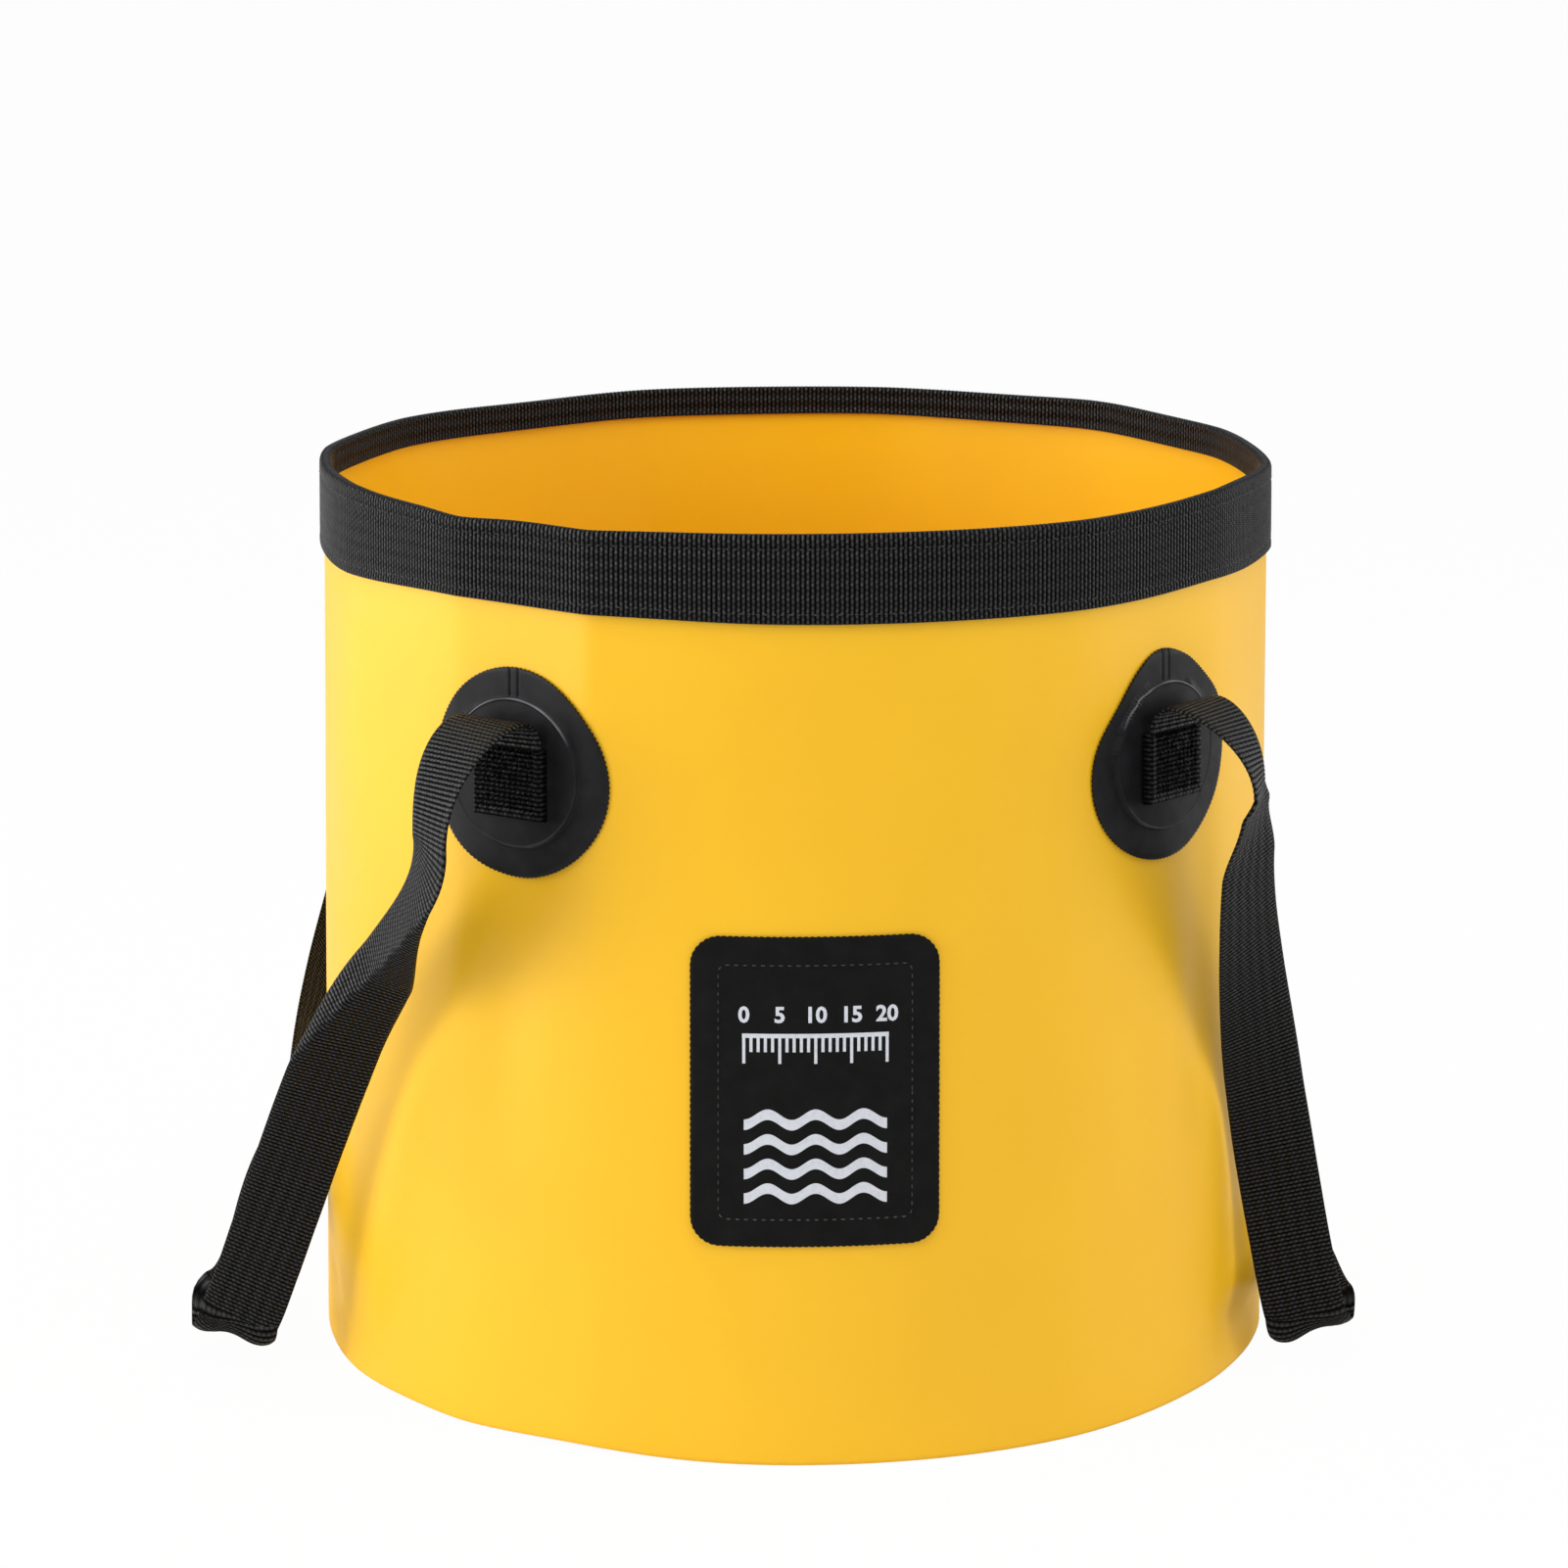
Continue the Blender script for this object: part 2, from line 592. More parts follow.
def build_base(material):
    """The round bottom, its heel and the flange welded inside the wall, following the wall's shape."""
    turns = np.arange(0, 360, 1.0)

    def ring(inset, height):
        return on_bucket(skin(turns, height) - SHEET - GAP - inset, turns, height)

    def bend(radius, k):
        angle = math.radians(-90 + 90 * k / HEEL_STEPS)
        return ring(HEEL - radius * math.cos(angle), HEEL + radius * math.sin(angle))

    edge = skin(turns, 0) - SHEET - GAP - HEEL
    levels = (4 * MM, 8 * MM, 12 * MM, FLANGE_HEIGHT - 0.2 * MM)
    columns = [on_bucket(edge * share, turns, 0.0) for share in BASE_SHARES]
    columns += [bend(HEEL, k) for k in range(1, HEEL_STEPS + 1)]
    columns += [ring(0, level) for level in levels]
    columns += [ring(SHEET / 2, FLANGE_HEIGHT)]
    columns += [ring(SHEET, level) for level in reversed(levels)]
    columns += [bend(HEEL - SHEET, k) for k in reversed(range(HEEL_STEPS))]
    for share in reversed(BASE_SHARES[:-1]):
        level = SHEET + abs(BASE_RIPPLE * math.sin(share * 9))
        columns.append(on_bucket(edge * share, turns, level))
    points = np.stack(columns, axis=1)
    width = np.linalg.norm(points[..., :2], axis=-1)
    uv = points[..., :2].copy()
    upright = points[..., 2] > 1.2 * MM
    near_edge = smooth((width / FOOT_RADIUS - 0.75) / 0.25)
    points[..., 2] += foot_lift(turns[:, None], points[..., 2]) * near_edge
    along = np.radians(turns)[:, None] * FOOT_RADIUS
    uv[..., 0] = np.where(upright, along, uv[..., 0])
    uv[..., 1] = np.where(upright, points[..., 2] + width, uv[..., 1])
    uv = np.concatenate([uv, uv[:1]], axis=0)
    obj = add_grid("base", material, points, uv, wrap_rows=True)
    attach(obj, "base")
    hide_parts("base_disc")


# Rim tape

# Where the tape's top and its outer foot are shifted up: turn, width in degrees, shift
RIM_TOP_SHIFT = (
    (-49, 5, -0.8), (-31, 6, -0.3), (-75, 9, 1.2), (55, 12, 1.6), (128, 10, 0.8), (-150, 12, -0.7)
)
RIM_FOOT_SHIFT = ((-50, 14, 2.0), (-28, 14, 1.2), (50, 9, 1.2), (110, 14, -0.6), (165, 12, 0.8))

# The tape's two rows of stitching, as distances from its outer foot, and the dent along them
TAPE_SEAMS = (3.0 * MM, 21.5 * MM)
SEAM_DENT = 0.22 * MM
SEAM_WIDTH = 0.7 * MM


def rib_shape(run, pitch=RIB_PITCH):
    """Rounded cross ribs with narrow valleys between them, 0 to 1."""
    return np.abs(np.sin(math.pi * run / pitch)) ** 0.7


def tape_profile():
    """Middle line of the folded tape from its outer foot over the top to its inner foot.

    Rows of (offset from the wall's middle, height below the top), with the share along the tape.
    """
    reach = SHEET / 2 + GAP + TAPE / 2
    outer_length = TAPE_OUTER - reach
    inner_length = TAPE_INNER - reach
    fold = math.pi * reach
    total = outer_length + fold + inner_length
    rows = [(reach, run - TAPE_OUTER, run / total) for run in np.linspace(0, outer_length, 27)]
    for angle in np.linspace(0, math.pi, 9)[1:]:
        share = (outer_length + angle * reach) / total
        rows.append((reach * math.cos(angle), reach * math.sin(angle) - reach, share))
    for run in np.linspace(0, inner_length, 9)[1:]:
        rows.append((-reach, -reach - run, (outer_length + fold + run) / total))
    return np.array(rows), total


def build_tape(material, thread):
    """The webbing folded over the rim, with its cross ribs, selvages and two rows of stitching."""
    rows, total = tape_profile()
    ribs = round(math.tau * RIM_RADIUS / RIB_PITCH)
    count = ribs * STEPS_PER_RIB
    turns = np.arange(count) * 360 / count
    rib = rib_shape(np.arange(count) / STEPS_PER_RIB * RIB_PITCH)[:, None]
    run = rows[:, 2] * total
    selvage = bump(run, 1.0 * MM, 1.1 * MM) + bump(run, total - 1.0 * MM, 1.1 * MM)
    stitched = sum(bump(run, seam, SEAM_WIDTH) for seam in TAPE_SEAMS)
    puff = RIB_DEPTH * (rib - RIB_BELOW) * (1 - 0.35 * selvage)
    puff = puff + 0.12 * MM * selvage - SEAM_DENT * stitched
    step = np.diff(rows[:, :2], axis=0)
    step = np.concatenate([step, step[-1:]])
    normal = unit(np.stack([step[:, 1], -step[:, 0]], axis=1))
    height_share = np.clip((rows[:, 1] + TAPE_OUTER) / TAPE_OUTER, 0, 1)
    top_shift = shift_along(turns, RIM_TOP_SHIFT)[:, None]
    foot_shift = shift_along(turns, RIM_FOOT_SHIFT)[:, None]
    lift = foot_shift + (top_shift - foot_shift) * height_share
    t = turns[:, None]

    def surface(side):
        offset = side * (TAPE / 2 + np.where(side > 0, puff, 0))
        radial = rows[:, 0] + normal[:, 0] * offset
        level = HEIGHT + rows[:, 1] + normal[:, 1] * offset
        level = np.minimum(level, HEIGHT + 0.2 * MM) + lift
        radius = skin(t, HEIGHT + rows[:, 1]) - SHEET / 2 + radial
        return on_bucket(radius, t, level)

    outside, inside = surface(1), surface(-1)[:, ::-1]
    points = np.concatenate([outside, inside], axis=1)
    along = np.append(turns, 360) / 360 * ribs * RIB_PITCH
    width = np.concatenate([run, run[::-1], run[:1]])
    grid = np.stack(np.meshgrid(width, along), axis=-1)
    obj = add_grid("rim_tape", material, points, grid, wrap_rows=True, wrap_cols=True)
    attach(obj, "rim")
    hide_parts("rim_binding")

    stitches = []
    for seam in TAPE_SEAMS:
        line = outside[:, np.argmin(np.abs(run - seam))]
        stitches += stitch_line(np.concatenate([line, line[:1]]), 1.5 * MM, 1.3 * MM, 0.25 * MM)
    sewing = join_tubes("rim_stitching", thread, stitches, 0.24 * MM, 4)
    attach(sewing, "rim")


# Stitching

STITCH_POINTS = 5
STITCH_SINK = 0.1 * MM


def stitch_line(line, length, gap, lift):
    """Short arched runs of thread along a line of surface points, each a few points long."""
    fine, at = resample(line, 0.35 * MM)
    outward = unit(fine * np.array([1, 1, 0]))
    rise = lift * np.sin(np.linspace(0, math.pi, STITCH_POINTS))[:, None] - STITCH_SINK
    pieces = []
    for start in np.arange(0, at[-1] - length, length + gap):
        inside = np.linspace(start, start + length, STITCH_POINTS)
        pieces.append(points_at(inside, at, fine) + points_at(inside, at, outward) * rise)
    return pieces


def join_tubes(name, material, lines, radius, sides=5):
    """One mesh of thin round tubes with tapered ends along short lines."""
    verts, faces = [], []
    for line in lines:
        count = len(line)
        along = unit(np.gradient(line, axis=0))
        side = unit(np.cross(along, [0.13, 0.21, 0.97]))
        up = np.cross(side, along)
        width = radius * np.clip(np.sin(np.linspace(0.25, math.pi - 0.25, count)) * 1.6, 0.35, 1)
        first = len(verts)
        for i in range(count):
            for k in range(sides):
                angle = math.tau * k / sides
                verts.append(line[i] + width[i] * (side[i] * math.cos(angle) + up[i] * math.sin(angle)))
        faces += (first + grid_quads(count, sides, wrap_cols=True)[0]).tolist()
        faces.append([first + k for k in reversed(range(sides))])
        faces.append([first + (count - 1) * sides + k for k in range(sides)])
    return add_mesh(name, material, verts, faces)


# Label

LABEL_TOOTH = 0.28 * MM
LABEL_TOOTH_SPACING = 0.62 * MM
LABEL_SHARES = (0.12, 0.25, 0.4, 0.55, 0.68, 0.74, 0.77, 0.8, 0.86, 0.92, 0.96, 0.985, 1.0)
LABEL_SEAM_INSET = 8.5 * MM

# The printed scale and waves
SCALE_LEVEL = 17 * MM
SCALE_MARKS = 21
SCALE_STEP = 2.1 * MM
NUMBER_LEVEL = 21.5 * MM
NUMBER_SIZE = 6.6 * MM
WAVE_LEVEL = -8 * MM
WAVE_STEP = 7.5 * MM


def rounded_rectangle(width, height, corner, spacing):
    """Edge points anticlockwise from the middle of the right side."""
    x, y = width / 2 - corner, height / 2 - corner
    line = [(width / 2, 0, 0)]
    for center_x, center_y, start in ((x, y, 0), (-x, y, 90), (-x, -y, 180), (x, -y, 270)):
        for k in range(13):
            angle = math.radians(start + 90 * k / 12)
            line.append((center_x + corner * math.cos(angle), center_y + corner * math.sin(angle), 0))
    line.append((width / 2, 0, 0))
    points, _ = resample(np.array(line), spacing)
    return points[:-1, :2]


def cut_teeth(outline, depth):
    """The edge of sheet cut with pinking shears: every third point a little further in."""
    teeth = np.arange(len(outline)) % 3 == 0
    return outline - unit(outline) * np.where(teeth, depth, 0)[:, None]


def on_label(points, stand_off):
    """Points of (across, up) on the label's face."""
    return place_on_wall(points, LABEL_TURN, LABEL_MIDDLE, GAP + LABEL_THICKNESS + stand_off)


def press_with_wall(obj):
    """Rides on the base and presses together with the lower wall."""
    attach(obj, "base")
    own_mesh(obj)


def build_label(material, ink, thread):
    """The label with its toothed edge, its stitching and its print."""
    width, height = LABEL_SIZE
    outline = cut_teeth(rounded_rectangle(width, height, LABEL_CORNER, LABEL_TOOTH_SPACING), LABEL_TOOTH)

    def front(across, up):
        from_edge = np.minimum(width / 2 - np.abs(across), height / 2 - np.abs(up))
        return GAP + LABEL_THICKNESS - 0.3 * MM * (1 - smooth(from_edge / (0.8 * MM)))

    obj = plate_on_wall("label", material, LABEL_TURN, LABEL_MIDDLE, outline, LABEL_SHARES, front, GAP)
    press_with_wall(obj)
    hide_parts("label_patch")

    inset = 2 * LABEL_SEAM_INSET
    seam = rounded_rectangle(width - inset, height - inset, 2.5 * MM, 0.5 * MM)
    line = on_label(np.concatenate([seam, seam[:1]]), 0)
    stitches = stitch_line(line, 1.3 * MM, 1.3 * MM, 0.3 * MM)
    sewing = join_tubes("label_stitching", thread, stitches, 0.26 * MM)
    press_with_wall(sewing)

    press_with_wall(print_on_label(ink))


def printed_band(x, y, width, height, rise=0):
    """(across, up) points of a band's lower and then its upper edge. With a rise it has three waves."""
    count = 60 if rise else max(2, int(width / (2.5 * MM)) + 1)
    xs = np.linspace(x - width / 2, x + width / 2, count)
    line = y + rise * np.cos(xs / width * math.tau * 3)
    return [(a, b + side * height / 2) for side in (-1, 1) for a, b in zip(xs, line)]


def print_on_label(material):
    """The plain printed marks on the label: a ruled scale with numbers, above four water lines."""
    bands = []
    for k in range(SCALE_MARKS):
        tall = 8 * MM if k % 5 == 0 else 4.5 * MM
        x = (k - SCALE_MARKS // 2) * SCALE_STEP
        bands.append(printed_band(x, SCALE_LEVEL - tall / 2, 0.9 * MM, tall))
    bands.append(printed_band(0, SCALE_LEVEL + 0.4 * MM, 43 * MM, 1.3 * MM))
    for k in range(4):
        bands.append(printed_band(0, WAVE_LEVEL - k * WAVE_STEP, 42 * MM, 3.2 * MM, 1.6 * MM))
    verts, faces = [], []
    for band in bands:
        faces += (len(verts) + grid_quads(2, len(band) // 2)[0]).tolist()
        verts += band
    for value in range(0, SCALE_MARKS, 5):
        curve = bpy.data.curves.new("number", "FONT")
        curve.body = str(value)
        curve.size = NUMBER_SIZE
        curve.align_x = "CENTER"
        curve.offset = 0.2 * MM
        curve.resolution_u = 3
        text = add_object("number", curve)
        bpy.context.view_layer.update()
        flat = text.to_mesh()
        first = len(verts)
        x = (value - SCALE_MARKS // 2) * SCALE_STEP
        verts += [(v.co.x + x, v.co.y + NUMBER_LEVEL) for v in flat.vertices]
        faces += [tuple(first + i for i in p.vertices) for p in flat.polygons]
        text.to_mesh_clear()
        bpy.data.objects.remove(text, do_unlink=True)
    return add_mesh("label_marks", material, on_label(np.array(verts), 0.05 * MM), faces)


# Handle patches

# The slope round the raised middle of a patch
EMBOSS_START = BACKING_RADIUS + 0.3 * MM
EMBOSS_END = EMBOSS_START + 0.5 * MM

# The two short welded lines above the raised middle
GROOVES = (-1.45 * MM, 1.45 * MM)

# Shape of each front patch: angle round it (0 right, 90 up), width in degrees, change of radius
PATCH_SHAPES = {
    -1: ((150, 34, -1.6), (45, 26, -1.0), (-20, 30, 0.8)),
    1: ((140, 30, -4.5), (50, 22, -2.0), (95, 14, 1.2), (215, 30, 0.8)),
}
PATCH_TOOTH = 0.2 * MM
PATCH_TEETH = 130
PATCH_SHARES = (
    list(np.linspace(0.08, 0.62, 9))
    + list(np.linspace(0.67, 0.75, 20))
    + [0.81, 0.85, 0.89, 0.93, 0.96, 0.98, 0.99, 1.0]
)


def patch_turn(side, at_front):
    return side * (PATCH_TURN if at_front else 180 - PATCH_TURN)


def patch_outline(at_front, side):
    """Edge of a round patch: (across, up), with fine teeth, and drawn in where the wall creases."""
    count = 600
    angle = np.arange(count) * math.tau / count
    radius = np.full(count, PATCH_RADIUS)
    if at_front:
        for middle, width, change in PATCH_SHAPES[side]:
            radius = radius + change * MM * bump(turn_gap(np.degrees(angle), middle), 0, width)
    radius = radius + PATCH_TOOTH * np.sin(angle * PATCH_TEETH)
    return np.stack([radius * np.cos(angle), radius * np.sin(angle)], axis=1)


def patch_face(across, up):
    """How far a patch's outer face stands off the wall."""
    reach = np.hypot(across, up)
    low = GAP + PATCH_THICKNESS
    raised = BACKING_THICKNESS + GAP
    face = low + raised * smooth((EMBOSS_END - reach) / (EMBOSS_END - EMBOSS_START))
    bead = 0.2 * MM * bump(reach, EMBOSS_START - 0.2 * MM, 0.25 * MM)
    above = smooth((up - EMBOSS_START) / (1.0 * MM))
    groove = sum(0.45 * MM * bump(across, line, 0.35 * MM) * above for line in GROOVES)
    rounding = 0.35 * MM * (1 - smooth((PATCH_RADIUS - reach) / (0.9 * MM)))
    return face + bead - groove - rounding


def build_patch(place, side, at_front, material):
    turn = patch_turn(side, at_front)
    outline = patch_outline(at_front, side)
    obj = plate_on_wall(
        f"patch_{place}", material, turn, PATCH_MIDDLE, outline, PATCH_SHARES, patch_face, GAP
    )
    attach(obj, "handle_mounts")
    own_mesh(obj)
    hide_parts(f"handle_patch_{place}", f"patch_backing_{place}")


# Webbing handles

# Where each strap bends from the patches to the swinging handle: distance to the side and height
BEND_START = (105 * MM, 214 * MM)
BEND_END = (132 * MM, 178 * MM)

# The dense stitching of each end: its zigzag, and its fuzz, which is finer across than upwards
ZIGZAG_DEPTH = 0.24 * MM
FUZZ_DEPTH = 0.6 * MM
FUZZ_ACROSS = 1100
FUZZ_UP = 450


def bezier(points, count):
    share = np.linspace(0, 1, count)
    rest = 1 - share
    weights = np.stack([rest**3, 3 * rest**2 * share, 3 * rest * share**2, share**3], axis=1)
    return weights @ np.array(points, float)


def route_of(handle, at_front):
    """(radius, turn, height) points of the arch and of the hanging leg, on the right-hand side."""
    leg = handle["front" if at_front else "back"]
    back = -1 if at_front else 1
    block_radius = wall_radius(BLOCK_TOP) + PATCH_FACE + GAP + BLOCK_THICKNESS - STRAP_THICKNESS / 2
    start = np.array([block_radius, patch_turn(1, at_front), BLOCK_TOP + SHOULDER])
    turn, height = PATCH_TURN + handle["pivot_drift"], handle["pivot_height"]
    radius = wall_radius(height) + handle["pivot_reach"]
    pivot = np.array([radius, turn if at_front else 180 - turn, height])
    above_start = start + (0, 0, ARCH_START_LIFT)
    above_pivot = pivot + (0, 0, handle["arch_end_lift"])
    arch = bezier((start, above_start, above_pivot, pivot), 80)

    foot_radius = FOOT_RADIUS + handle["foot_reach"]
    spread = math.degrees(LOOP_TURN_RADIUS / foot_radius)
    foot_height = handle["foot_height"] + LOOP_TURN_RADIUS
    foot = np.array([foot_radius, handle["foot_turn"] + back * spread, foot_height])
    below_pivot = pivot + (leg["top_flare"], 0, -leg["top_pull"])
    above_foot = foot + (leg["foot_flare"], back * leg["foot_sweep"], leg["foot_pull"])
    hanging = bezier((pivot, below_pivot, above_foot, foot), 240)
    angle = np.radians(np.linspace(0, 90, 25)[1:])
    turn = handle["foot_turn"] + back * spread * np.cos(angle)
    height = foot_height - LOOP_TURN_RADIUS * np.sin(angle)
    bottom = np.stack([np.full_like(angle, foot_radius), turn, height], axis=1)
    return arch, np.concatenate([hanging, bottom])


def face_direction(turn, angle, tilt, at_front):
    """Unit directions across the strap, turned from the wall and tilted up, in degrees."""
    angle, tilt = np.radians(angle)[:, None], np.radians(tilt)[:, None]
    out = on_bucket(1, turn, 0)
    flat = np.cross(UP, out) * (1 if at_front else -1)
    return (flat * np.cos(angle) + out * np.sin(angle)) * np.cos(tilt) + UP * np.sin(tilt)


def half_handle(handle, at_front):
    """Points from the stitched end to the foot of the loop, and the width direction at each column.

    Where a leg has a crease_spread, its twist is folded into one slanting crease.
    """
    leg = handle["front" if at_front else "back"]
    arch, hanging = route_of(handle, at_front)
    arch_points, leg_points = on_bucket(*arch.T), on_bucket(*hanging.T)
    arch_run, leg_run = run_along(arch_points), run_along(leg_points)
    arch_angle = handle["pivot_face"] * smooth(arch_run / arch_run[-1])
    waist_turn = leg["waist_face"] - handle["pivot_face"]
    past_waist = (leg_run - leg["waist_run"]) / (leg["settle_length"] - leg["waist_run"])
    settling = handle["pivot_face"] + waist_turn * smooth(leg_run / leg["waist_run"])
    settling = settling - leg["waist_face"] * smooth(past_waist)
    middle = leg["twist_start"] + leg["twist_length"] / 2
    tilt = handle["foot_tilt"] * np.clip((leg_run - middle) / (leg_run[-1] - middle), 0, None)
    columns = []
    for column in STRAP_COLUMNS:
        if "crease_spread" in leg:
            folded = smooth((leg_run - middle - leg["crease_spread"] * column) / CREASE_SOFTNESS + 0.5)
        else:
            folded = smooth((leg_run - leg["twist_start"]) / leg["twist_length"])
        angle = settling + leg["foot_face"] * folded
        standing = face_direction(arch[:, 1], arch_angle, 0 * arch_angle, at_front)
        hung = face_direction(hanging[1:, 1], angle[1:], tilt[1:], at_front)
        columns.append(np.concatenate([standing, hung]))
    return np.concatenate([arch_points, leg_points[1:]]), np.stack(columns, axis=1)


def strap_section():
    """Closed cross-section of the strap: column, share across -1 to 1 and face -1 to 1 of each point."""
    face = np.clip((1 - np.abs(STRAP_COLUMNS) ** 14) ** 0.5, 0.35, 1)
    top = list(zip(range(len(face)), STRAP_COLUMNS, face))
    bottom = [(column, share, -level) for column, share, level in top[::-1]]
    return np.array(top + [(len(face) - 1, 1.012, 0)] + bottom + [(0, -1.012, 0)])


def across_strap(wide):
    """Places of the columns beside the middle line, in half widths, adding up the width directions."""
    steps = (wide[:, 1:] + wide[:, :-1]) / 2 * np.diff(STRAP_COLUMNS)[:, None]
    places = np.concatenate([np.zeros_like(wide[:, :1]), np.cumsum(steps, axis=1)], axis=1)
    return places - places[:, len(STRAP_COLUMNS) // 2][:, None]


def softened(directions, reach):
    """Directions along a line, each mixed with its neighbours."""
    kernel = np.hanning(2 * reach + 1)
    kernel /= kernel.sum()
    padded = np.pad(directions, ((reach, reach), (0, 0)), mode="edge")
    return np.stack([np.convolve(padded[:, k], kernel, mode="valid") for k in range(3)], axis=1)


def build_strap(handle, side_name, material):
    """One unbroken ribbed strap from patch to patch, which bends where it comes down from its arches."""
    side = handle["side"]
    halves = zip(half_handle(handle, True), half_handle(handle, False))
    points, across = (np.concatenate([front, back[-2::-1]]) for front, back in halves)
    run = run_along(points)
    ribs = round(run[-1] / RIB_PITCH)
    count = ribs * STEPS_PER_RIB + 1
    at = np.linspace(0, run[-1], count)
    line = points_at(at, run, points)
    nearest = np.interp(at, run, np.arange(len(run)))
    before = np.clip(nearest.astype(int), 0, len(run) - 2)
    part = (nearest - before)[:, None, None]
    wide = across[before] * (1 - part) + across[before + 1] * part
    along = softened(np.gradient(line, axis=0), STEPS_PER_RIB)
    along[0], along[-1] = (0, 0, 1), (0, 0, -1)
    along = unit(along)[:, None]
    wide = unit(wide - along * np.sum(wide * along, axis=2)[..., None])
    normal = np.cross(wide, np.broadcast_to(along, wide.shape))
    places = across_strap(wide)

    section = strap_section()
    rib = rib_shape(at, run[-1] / ribs)
    wobble = np.array([noise.noise(Vector((v * 55, side * 3.1, 0.4))) for v in at])
    half_width = STRAP_WIDTH / 2 * (1 + 0.012 * wobble)
    column = section[:, 0].astype(int)
    lip = section[:, 1] - STRAP_COLUMNS[column]
    beside = (places[:, column] + wide[:, column] * lip[:, None]) * half_width[:, None, None]
    flat_share = np.clip(1 - np.abs(section[:, 1]) ** 8, 0, 1)
    depth = STRAP_THICKNESS / 2 - 0.12 * MM + RIB_DEPTH * (rib[:, None] - RIB_BELOW) * flat_share
    selvage = 0.1 * MM * bump(np.abs(section[:, 1]), 0.9, 0.06)
    v = section[:, 2] * (depth + selvage)
    mesh_points = line[:, None] + beside + normal[:, column] * v[..., None]
    foot_run = run[len(run) // 2]
    curl = FOOT_CURL * np.abs(section[:, 1]) ** 3 + FOOT_WAVE * np.sin(4.5 * section[:, 1] + 1)
    mesh_points[..., 2] += bump(at, foot_run, FOOT_CURL_RUN)[:, None] * (curl + FOOT_WAVE)
    mesh_points[..., 0] *= side
    if side < 0:
        mesh_points = mesh_points[:, ::-1]
        section = section[::-1]
    width_uv = np.append(section[:, 1], section[0, 1]) * STRAP_WIDTH / 2
    run_uv = at * ribs * RIB_PITCH / run[-1]
    grid = np.stack(np.meshgrid(width_uv, run_uv), axis=-1)
    name = f"{side_name}_handle_strap"
    obj = add_grid(name, material, mesh_points, grid, wrap_cols=True, caps=True)
    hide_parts(f"{side_name}_strap", f"strap_end_front_{side_name}", f"strap_end_back_{side_name}")
    start, end = ((side * across, 0, height) for across, height in (BEND_START, BEND_END))
    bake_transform(obj)
    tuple(start)
    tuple(end)


def stitched_face(a, z, seed):
    """Depth of the stitched end's outer face over the patch at places across it and heights."""
    from_rim = np.minimum(STRAP_WIDTH / 2 - np.abs(a), z - z.min())
    from_edge = np.minimum(from_rim, z.max() - z)
    frame_lip = bump(from_rim, 1.5 * MM, 0.8 * MM)
    inside = smooth((from_rim - 2.4 * MM) / (0.8 * MM))
    places = np.stack([a * FUZZ_ACROSS, z * FUZZ_UP, np.full_like(a, seed)], axis=-1)
    rough = np.array([[noise.noise(Vector(point)) for point in row] for row in places])
    zigzag = np.sin(a / (1.9 * MM) * math.tau + 1.4 * np.sin(z / (1.3 * MM) * math.tau))
    face = BLOCK_THICKNESS - 0.35 * MM + 0.2 * MM * frame_lip
    face = face + inside * (ZIGZAG_DEPTH * zigzag + FUZZ_DEPTH * rough - 0.25 * MM)
    face = face + (1 - inside) * 0.12 * MM * rib_shape(z)
    round_share = 1 - np.clip(from_edge / (1.1 * MM), 0, 1)
    return face - BLOCK_THICKNESS * 0.45 * (1 - np.sqrt(1 - round_share**2))


def build_block(place, side, at_front, material):
    """The stitched end of a strap: two layers, a raised frame and dense stitching inside it."""
    turn = patch_turn(side, at_front)
    across = np.linspace(-STRAP_WIDTH / 2, STRAP_WIDTH / 2, 81)
    up = np.linspace(BLOCK_TOP - BLOCK_HEIGHT, BLOCK_TOP, 71)
    a, z = np.meshgrid(across, up, indexing="ij")
    seed = side * 7 + (3 if at_front else 11)
    out = on_bucket(1, turn, 0)
    flat = np.cross(UP, out)
    base = skin(turn, z) + (PATCH_FACE + GAP)
    layers = [
        out * (base + depth)[..., None] + flat * a[..., None] + UP * z[..., None]
        for depth in (stitched_face(a, z, seed), 0)
    ]
    verts = np.stack(layers).reshape(-1, 3)
    index = np.arange(a.size).reshape(a.shape)
    quads = grid_quads(*a.shape)[0][:, [0, 3, 2, 1]]
    faces = quads.tolist() + (quads[:, ::-1] + index.size).tolist()
    border = np.concatenate([index[:, 0], index[-1, 1:], index[-2::-1, -1], index[0, -2:0:-1]])
    after = np.roll(border, -1)
    faces += np.stack([after, border, border + index.size, after + index.size], axis=1).tolist()
    flat_uv = np.stack([a, z], axis=-1).reshape(-1, 2)
    loop_uv = np.tile(flat_uv, (2, 1))[np.array(faces).ravel()]
    obj = add_mesh(f"stitched_end_{place}", material, verts, faces, loop_uv)
    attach(obj, "handle_mounts")
    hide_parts(f"strap_end_{place}")


# Studio

FLOOR_REACH = 30
FLOOR_GLOW = 0.97  # share of its own light that the camera sees, for the photo's white ground
ROOM_LIGHT = 0.4

# Soft boxes: place, aim, width, height, power
MIDDLE = (0, 0, 0.14)
LAMPS = {
    "left_box": ((-1.7, 0.35, 0.68), (0, 0.35, 0.68), 2.6, 1.3, 33),
    "left_front_box": ((-2.09, -0.96, 1.0), MIDDLE, 0.8, 0.8, 8.5),
    "right_front_box": ((1.88, -1.32, 1.0), MIDDLE, 0.8, 0.8, 7.5),
    "front_box": ((-0.3, -2.5, 1.4), MIDDLE, 1.8, 1.8, 4.5),
    "right_box": ((1.8, 0.2, 0.68), (0, 0.2, 0.68), 2.0, 1.3, 14),
    "top_box": ((0.0, -0.6, 1.9), (0, 0.05, 0.1), 1.2, 1.2, 22),
}


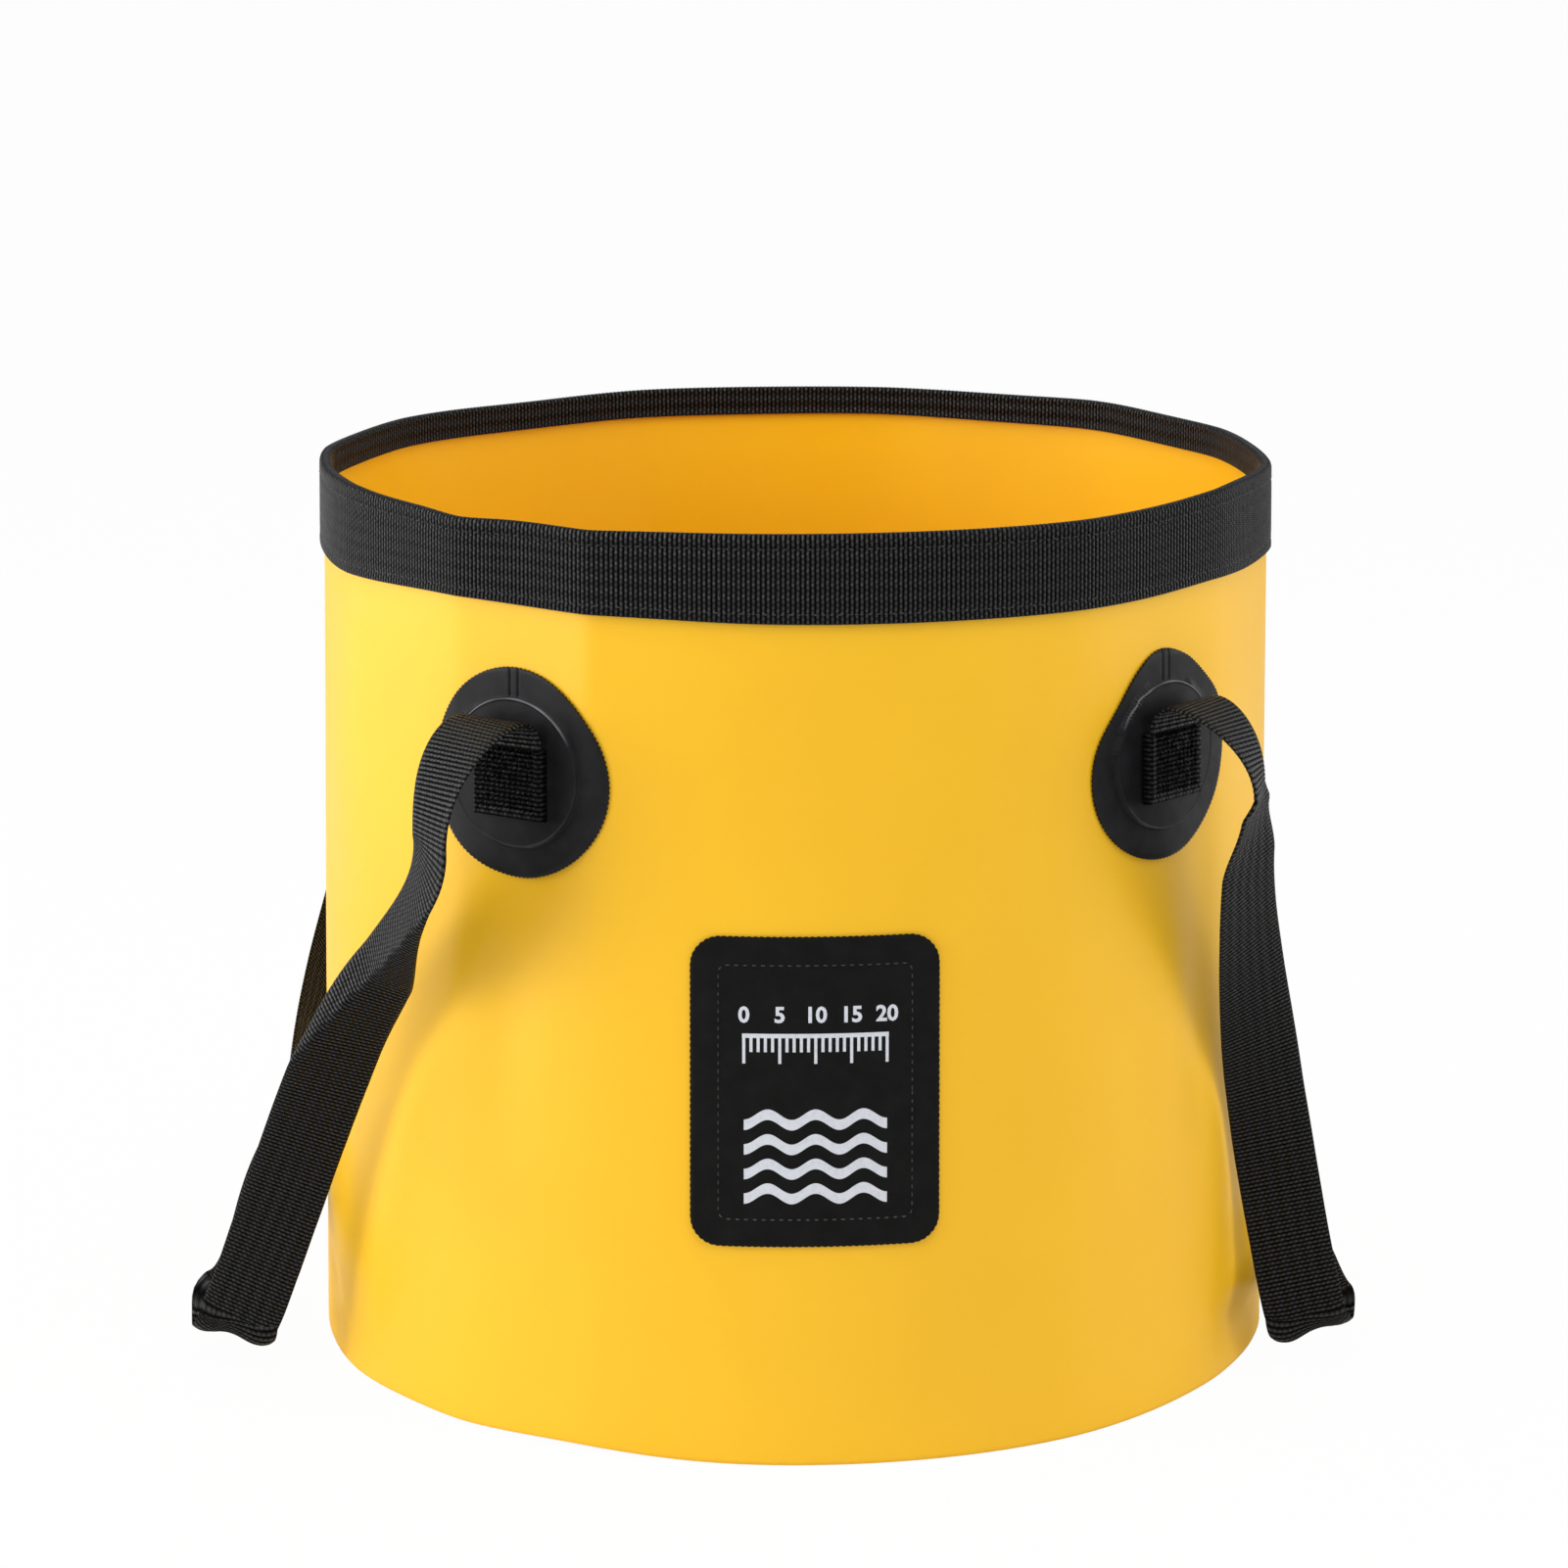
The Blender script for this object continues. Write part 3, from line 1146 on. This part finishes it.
def add_floor():
    n = material_nodes("floor_white")
    n.set(Base_Color=(0.66, 0.66, 0.66, 1), Roughness=0.9)
    glow = n.add("ShaderNodeEmission", {"Color": (1, 1, 1, 1), "Strength": 1.0})
    share = n.product(n.seen(), FLOOR_GLOW)
    mixed = n.add("ShaderNodeMixShader", {0: share, 1: n.shader.outputs[0], 2: glow.outputs[0]})
    n.tree.links.new(mixed.outputs[0], n.tree.nodes["Material Output"].inputs["Surface"])
    corners = [(x * FLOOR_REACH, y * FLOOR_REACH, 0) for x, y in ((-1, -1), (1, -1), (1, 1), (-1, 1))]
    add_mesh("floor", n.owner, corners, [(0, 1, 2, 3)])


def add_world():
    """A white background for the camera, which lights the bucket less brightly than it looks."""
    n = Nodes(bpy.data.worlds.new("studio"), "Background")
    bpy.context.scene.world = n.set(Color=(1, 1, 1, 1), Strength=n.ramp(n.seen(), ROOM_LIGHT, 1.0))


def add_lamp(name, place, aim, width, height, power):
    data = bpy.data.lights.new(name, "AREA")
    data.shape = "RECTANGLE"
    data.size = width
    data.size_y = height
    data.energy = power
    lamp = add_object(name, data)
    lamp.location = place
    lamp.rotation_euler = (Vector(aim) - Vector(place)).to_track_quat("-Z", "Y").to_euler()


def add_camera():
    data = bpy.data.cameras.new("camera")
    data.lens = LENS
    data.sensor_width = 36
    camera = add_object("camera", data)
    camera.location = CAMERA_PLACE
    camera.rotation_euler = (math.radians(90 - CAMERA_PITCH), 0, math.radians(CAMERA_TURN))
    bpy.context.scene.camera = camera


def main():
    add_camera()
    bpy.context.scene.view_settings.view_transform = "Standard"
    yellow = tarpaulin("yellow_sheet", *TARPAULIN)
    webbing_black = webbing("webbing", *WEBBING)
    patch_black = soft_plastic("patch_sheet", *PATCH, EMBOSS_START)
    label_black = soft_plastic("label_sheet", *LABEL)
    block_black = webbing("stitched_webbing", *STITCHED_WEBBING)
    thread_black = plain_thread("sewing_thread", *THREAD)
    ink = print_ink("label_print", *INK)

    build_wall("wall_lower", 0, WALL_PART, yellow, "base")
    build_wall("wall_upper", WALL_PART, HEIGHT - TAPE - GAP, yellow, "rim")
    build_base(yellow)
    build_tape(webbing_black, thread_black)
    build_label(label_black, ink, thread_black)
    ends = ((True, "front"), (False, "back"))
    for side, side_name in ((-1, "left"), (1, "right")):
        for at_front, end_name in ends:
            build_patch(f"{end_name}_{side_name}", side, at_front, patch_black)
    for handle, side_name in ((LEFT_HANDLE, "left"), (RIGHT_HANDLE, "right")):
        build_strap(handle, side_name, webbing_black)
        for at_front, end_name in ends:
            build_block(f"{end_name}_{side_name}", handle["side"], at_front, block_black)

    add_floor()
    add_world()
    for name, lamp in LAMPS.items():
        add_lamp(name, *lamp)


main()
